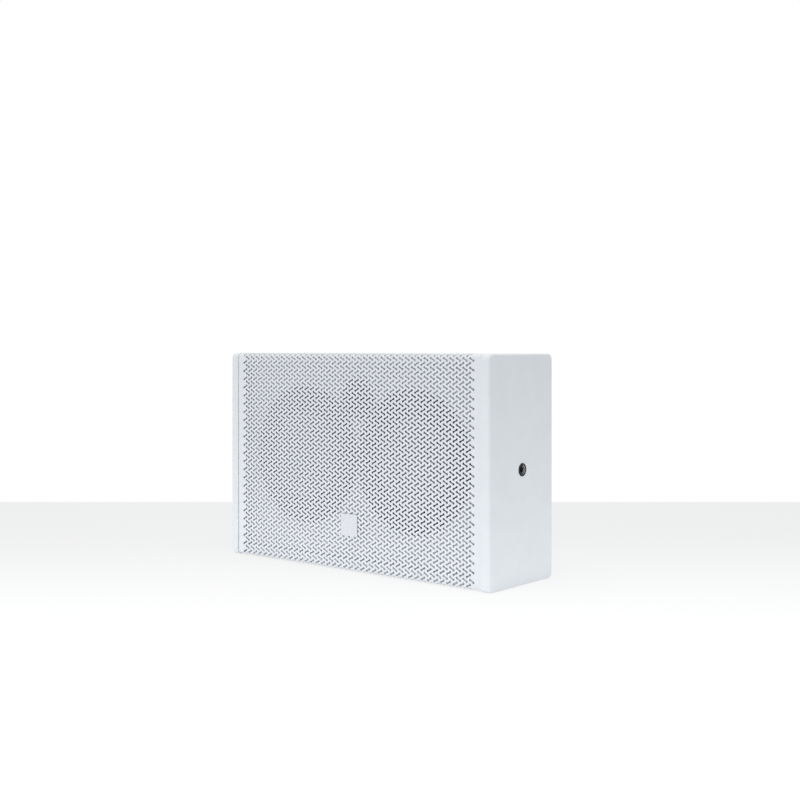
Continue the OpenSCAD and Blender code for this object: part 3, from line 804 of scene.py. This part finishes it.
def spider(side):
    """A corrugated ring, flat at the former and where it is glued to the basket's ledge."""
    inner = FORMER_OUT + GLUE_GAP
    collar, heel, rim = 3 * MM, 3.6 * MM, 6 * MM
    span = SPIDER_R - rim - inner
    steps = SPIDER_WAVES * 12
    line = [(inner + collar + (span - collar) * i / steps,
             SPIDER_Z + SPIDER_WAVE_H * math.sin(TURN * SPIDER_WAVES * i / steps))
            for i in range(steps + 1)]
    top = SPIDER_LEDGE_Z + SPIDER_T
    upper = ([(inner, SPIDER_Z + SPIDER_T)] + [(r, z + SPIDER_T) for r, z in line]
             + [(SPIDER_R - collar, top), (SPIDER_R, top)])
    lower = ([(SPIDER_R, SPIDER_LEDGE_Z), (SPIDER_R - heel, SPIDER_LEDGE_Z)] + line[::-1]
             + [(inner, SPIDER_Z)])
    part = placed(turned((upper + lower)[::-1], 96), driver_frame(side))
    piece = new_piece(side + "_corrugated_spider", *part, None, side + "_spider", sharp=60)
    blend_round(piece)


def cone(side):
    """A curved paper cone with a flat rim, which the surround is glued to."""
    inner, outer = FORMER_OUT + GLUE_GAP, CONE_RIM - LIP
    steps = 36
    radii = [inner + (outer - inner) * i / steps for i in range(steps + 1)]
    front = [(r, cone_z(r)) for r in radii] + [(CONE_RIM, FRAME_T), (CONE_RIM, FRAME_T - CONE_T)]
    back = [(r, cone_z(r) - CONE_T) for r in radii[::-1]]
    part = placed(turned((front + back)[::-1], 128), driver_frame(side))
    new_piece(side + "_paper_cone", *part, side + "_diaphragm", side + "_cone", sharp=40)


def dust_cap(side):
    """A thin dome seated on the cone."""
    seat = cone_z(CAP_R)
    dome_r = (CAP_R * CAP_R + CAP_H * CAP_H) / (2 * CAP_H)
    steps = 16
    outside, inside = [], []
    for r, row in ((dome_r, outside), (dome_r - CAP_T, inside)):
        widest = math.acos((dome_r - CAP_H) / r)
        for i in range(steps + 1):
            a = widest * i / steps
            row.append((r * math.sin(a), seat + CAP_H - dome_r + r * math.cos(a)))
    part = welded(turned(outside + inside[::-1], 96, closed=False))
    part = placed((part[0], [face[::-1] for face in part[1]]), driver_frame(side))
    new_piece(side + "_domed_cap", *part, side + "_diaphragm", side + "_dust_cap", sharp=50)


def coil_winding(side):
    """Turns of wire side by side on the former."""
    low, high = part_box(side + "_coil_winding")
    inner, outer = FORMER_OUT, (high.z - low.z) / 2
    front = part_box("baffle")[0].y
    near, far = front - low.y, front - high.y
    turns = 36
    wire_h = (near - far) / turns
    profile = [(inner, near), (inner, far)]
    for i in range(turns):
        for k in range(1, 5):
            a = math.pi * k / 5
            profile.append((outer - wire_h / 2 + wire_h / 2 * math.sin(a),
                            far + wire_h * (i + 0.5 - 0.5 * math.cos(a))))
    part = placed(turned(profile, 96), driver_frame(side))
    new_piece(side + "_wound_coil", *part, side + "_diaphragm", side + "_coil_winding", sharp=70)


def tinsel_leads(side):
    """Two braided leads from the terminals to the cone."""
    seat = 38 * MM
    ends = Vector((0, -seat, cone_z(seat) - CONE_T - 1.1 * MM))
    start = Vector((0, -64.7 * MM, -38 * MM))
    matrix = driver_frame(side)
    parts = []
    for x in (-8 * MM, 8 * MM):
        aside = Vector((x, 0, 0))
        path = bezier([start + aside, start + aside + Vector((0, 0, 22 * MM)),
                       Vector((x, -58 * MM, ends.z - 6 * MM)), ends + aside], 40, 1 * MM)
        parts.append(tube(path, TINSEL_R, 10))
    part = placed(joined(parts), matrix)
    piece = new_piece(side + "_braided_leads", *part, None, side + "_tinsel_leads")
    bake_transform(piece)


# Leads inside the cabinet


def hookup_leads(side):
    """The two leads from the sockets' contacts to a driver's tabs."""
    s = SIDES[side]
    low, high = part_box("socket_contacts")
    middle_z = (low.z + high.z) / 2
    matrix = driver_frame(side)
    parts = []
    for k in (-1, 1):
        from_point = Vector((s * (24 + k * 7) * MM, low.y, middle_z))
        to_point = matrix @ Vector((s * k * 8 * MM, -64.4 * MM, -56 * MM))
        path = bezier([from_point, from_point - Vector((0, 16 * MM, 0)),
                       to_point + Vector((0, 16 * MM, 0)), to_point], 40, 1 * MM)
        parts.append(tube(path, LEAD_R))
    new_piece(side + "_lead_pair", *joined(parts), "cabinet", side + "_hookup_leads", sharp=50)


def socket_jumpers():
    """The two short leads that join the sockets."""
    low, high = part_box("socket_contacts")
    middle_z = (low.z + high.z) / 2
    y = low.y - LEAD_R
    parts = []
    for k in (-1, 1):
        h, a = middle_z + k * 7 * MM, 9 * MM
        path = bezier([(-24 * MM, y, h), (-a, y - 5 * MM, h + k * 2 * MM),
                       (a, y - 5 * MM, h + k * 2 * MM), (24 * MM, y, h)], 32)
        parts.append(tube(path, LEAD_R))
    new_piece("socket_jumper_pair", *joined(parts), "cabinet", "socket_jumpers", sharp=50)


# Wadding


def wadding():
    """A lumpy sheet of fibre on the rear board, cut out round the dish and the brace."""
    low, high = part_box("damping_wadding")
    thick = high.y - low.y
    dish_low, dish_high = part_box("input_plate")
    dish_x, dish_z = (dish_low.x + dish_high.x) / 2, (dish_low.z + dish_high.z) / 2
    brace_low, brace_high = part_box("brace")
    brace_x, brace_z = (brace_low.x + brace_high.x) / 2, (brace_low.z + brace_high.z) / 2
    cuts = ((dish_x, dish_z, *DISH_HOLE), (brace_x, brace_z, *BRACE_HOLE))
    cell, soft = 5 * MM, 9 * MM
    rim, swell, even, uneven = 0.06, 0.86, 0.82, 0.18
    columns = round((high.x - low.x) / cell)
    rows = round((high.z - low.z) / cell)

    def inside(x, z):
        """Distance to the nearest edge of the pad, below 0 outside it."""
        room = min(x - low.x, high.x - x, z - low.z, high.z - z)
        for cx, cz, half_w, half_h in cuts:
            dx, dz = abs(x - cx) - half_w, abs(z - cz) - half_h
            away = math.hypot(max(dx, 0), max(dz, 0)) + min(max(dx, dz), 0)
            room = min(room, away)
        return room

    spots, kept = {}, []
    for i in range(columns):
        for j in range(rows):
            x, z = low.x + (i + 0.5) * cell, low.z + (j + 0.5) * cell
            if inside(x, z) > 0:
                kept.append((i, j))
                for corner in ((i, j), (i + 1, j), (i + 1, j + 1), (i, j + 1)):
                    spots.setdefault(corner, len(spots))
    points = []
    for i, j in spots:
        x, z = min(low.x + i * cell, high.x), min(low.z + j * cell, high.z)
        t = max(0.0, min(1.0, inside(x, z) / soft))
        puff = math.sqrt(1 - (1 - t) ** 2) * swell + rim
        lump = 0.5 + 0.5 * noise.noise(Vector((x, 0, z)) * LUMPS_PER_METRE)
        points.append(Vector((x, high.y - thick * puff * (even + uneven * lump), z)))
    count = len(points)
    points += [Vector((p.x, high.y, p.z)) for p in points]
    front = [[spots[(i, j)], spots[(i + 1, j)], spots[(i + 1, j + 1)], spots[(i, j + 1)]]
             for i, j in kept]
    owner = {(f[k], f[(k + 1) % 4]) for f in front for k in range(4)}
    walls = [[b, a, a + count, b + count] for a, b in sorted(owner) if (b, a) not in owner]
    back = [[i + count for i in reversed(f)] for f in front]
    faces = front + back + walls
    piece = new_piece("fibre_wadding", points, faces, "cabinet", "damping_wadding", sharp=60)
    smooth = piece.modifiers.new("soft", "SUBSURF")
    smooth.levels = smooth.render_levels = 1


def soften(node, width):
    """Rounds the edges of a node that is carried over, whose split corners are welded first."""
    weld = nodes[node].modifiers.new("weld", "WELD")
    weld.merge_threshold = WELD_GAP
    bevel = nodes[node].modifiers.new("soft_edges", "BEVEL")
    bevel.width = width
    bevel.segments = EDGE_SEGMENTS
    bevel.limit_method = "ANGLE"
    bevel.angle_limit = math.radians(40)
    bevel.harden_normals = True


def camera():
    made = bpy.data.objects.new("camera", bpy.data.cameras.new("camera"))
    bpy.context.scene.collection.objects.link(made)
    made.location = CAMERA_PLACE
    made.rotation_euler = (math.pi / 2, 0, CAMERA_TURN)
    made.data.sensor_width = SENSOR
    made.data.lens = FOCAL_PX / IMAGE_PX * SENSOR
    made.data.shift_y = (HORIZON_PX - IMAGE_PX / 2) / IMAGE_PX
    made.data.clip_end = CAMERA_CLIP
    bpy.context.scene.camera = made


def lamp(name, place, aim, width, height, power):
    """A large soft lamp that shines from a place towards an aim."""
    made = bpy.data.objects.new(name, bpy.data.lights.new(name, "AREA"))
    bpy.context.scene.collection.objects.link(made)
    made.data.shape = "RECTANGLE"
    made.data.size = width
    made.data.size_y = height
    made.data.energy = power
    made.location = place
    made.rotation_euler = (Vector(aim) - Vector(place)).to_track_quat("-Z", "Y").to_euler()


def seen_rays(tree):
    """1 for the rays that show the background: from the camera, mirrored or through glass."""
    path = tree.nodes.new("ShaderNodeLightPath")
    outputs = [path.outputs[n] for n in ("Is Camera Ray", "Is Glossy Ray", "Is Transmission Ray")]
    total = outputs[0]
    for other in outputs[1:]:
        total = combined(tree, "MAXIMUM", total, other)
    return total


def show_apart(tree, seen, given, kind):
    """Gives one shader to the rays that show the background, and another to all others."""
    mix = tree.nodes.new("ShaderNodeMixShader")
    out = tree.nodes.new(kind)
    wire(tree, seen_rays(tree), mix.inputs["Fac"])
    wire(tree, given.outputs[0], mix.inputs[1])
    wire(tree, seen.outputs[0], mix.inputs[2])
    wire(tree, mix.outputs[0], out.inputs["Surface"])


def added(tree, one, other):
    """Two shaders together."""
    both = tree.nodes.new("ShaderNodeAddShader")
    wire(tree, one.outputs[0], both.inputs[0])
    wire(tree, other.outputs[0], both.inputs[1])
    return both


def coloured(tree, kind, colour):
    """A shader of one colour."""
    made = tree.nodes.new(kind)
    made.inputs["Color"].default_value = (*colour, 1)
    return made


def world(fill):
    """White where it is seen, and an even fill light elsewhere."""
    made = bpy.data.worlds.new("studio")
    bpy.context.scene.world = made
    made.use_nodes = True
    tree = made.node_tree
    tree.nodes.clear()
    lit = coloured(tree, "ShaderNodeBackground", fill)
    seen = coloured(tree, "ShaderNodeBackground", (1, 1, 1))
    show_apart(tree, seen, lit, "ShaderNodeOutputWorld")


def from_foot(tree, place):
    """How far a spot on the table lies outside the object's foot."""
    half = (cad_box[1] - cad_box[0]) / 2
    steps = (("ABSOLUTE", None), ("SUBTRACT", (half.x, half.y, 0)), ("MAXIMUM", (0, 0, 0)))
    for operation, other in steps:
        step = tree.nodes.new("ShaderNodeVectorMath")
        step.operation = operation
        wire(tree, place, step.inputs[0])
        if other:
            step.inputs[1].default_value = other
        place = step.outputs["Vector"]
    length = tree.nodes.new("ShaderNodeVectorMath")
    length.operation = "LENGTH"
    wire(tree, place, length.inputs[0])
    return length.outputs["Value"]


def table_top():
    """The pale table: its far edge is square to the camera, it is a little greyer far off,
    and it gives light round the object's foot, to all but the rays that show the background."""
    forwards = Vector((-math.sin(CAMERA_TURN), math.cos(CAMERA_TURN), 0))
    across = Vector((math.cos(CAMERA_TURN), math.sin(CAMERA_TURN), 0))
    foot = Vector((CAMERA_PLACE[0], CAMERA_PLACE[1], 0))
    corners = [foot + forwards * f + across * a
               for f, a in ((-TABLE_HALF, -TABLE_HALF), (-TABLE_HALF, TABLE_HALF),
                            (TABLE_REACH, TABLE_HALF), (TABLE_REACH, -TABLE_HALF))]
    mesh = bpy.data.meshes.new("table_top")
    mesh.from_pydata([tuple(c) for c in corners], [], [[0, 1, 2, 3]])
    top = bpy.data.objects.new("table_top", mesh)
    bpy.context.scene.collection.objects.link(top)

    made = bpy.data.materials.new("table_top")
    made.use_nodes = True
    tree = made.node_tree
    tree.nodes.clear()
    coordinates = tree.nodes.new("ShaderNodeTexCoord")
    away = tree.nodes.new("ShaderNodeVectorMath")
    away.operation = "DOT_PRODUCT"
    away.inputs[1].default_value = forwards
    wire(tree, coordinates.outputs["Object"], away.inputs[0])
    start = foot.dot(forwards)
    grey = spread(tree, away.outputs["Value"], start + TABLE_GREY_NEAR, start + TABLE_GREY_FAR,
                  TABLE_NEAR_TONE, TABLE_FAR_TONE, "SMOOTHSTEP")
    glow = tree.nodes.new("ShaderNodeEmission")
    wire(tree, grey, glow.inputs["Strength"])
    seen = added(tree, glow, coloured(tree, "ShaderNodeBsdfDiffuse", TABLE_SHADE))

    away_from_foot = from_foot(tree, coordinates.outputs["Object"])
    begins, full, wanes, ends = TABLE_LIT_STEPS
    rise = spread(tree, away_from_foot, begins, full, 0.0, TABLE_LIT, "SMOOTHSTEP")
    fade = spread(tree, away_from_foot, wanes, ends, 1.0, 0.0, "SMOOTHSTEP")
    lit = tree.nodes.new("ShaderNodeEmission")
    wire(tree, combined(tree, "MULTIPLY", rise, fade), lit.inputs["Strength"])
    given = added(tree, coloured(tree, "ShaderNodeBsdfDiffuse", TABLE_BOUNCE), lit)
    show_apart(tree, seen, given, "ShaderNodeOutputMaterial")
    mesh.materials.append(made)


nodes = frame["nodes"]
for name, node in nodes.items():
    paint(node, MATERIALS[SLOT_OF[name]])
paint(nodes["port_tube"], PORT_GREY)

for name in ("left_side_panel", "right_side_panel", "top_board", "bottom_board", "rear_board"):
    soften(name, BOARD_EDGE)
for name in ("input_plate", "baffle", "brace"):
    soften(name, THIN_EDGE)

grille()
badge_place()
screws()
socket_jumpers()
wadding()
for side in SIDES:
    side_insert(side)
    insert_ring(side)
    surround(side)
    spider(side)
    cone(side)
    dust_cap(side)
    coil_winding(side)
    tinsel_leads(side)
    hookup_leads(side)

camera()
world(FILL_LIGHT)
table_top()
for name, values in LAMPS.items():
    lamp(name, *values)

bpy.context.scene.view_settings.view_transform = "Standard"
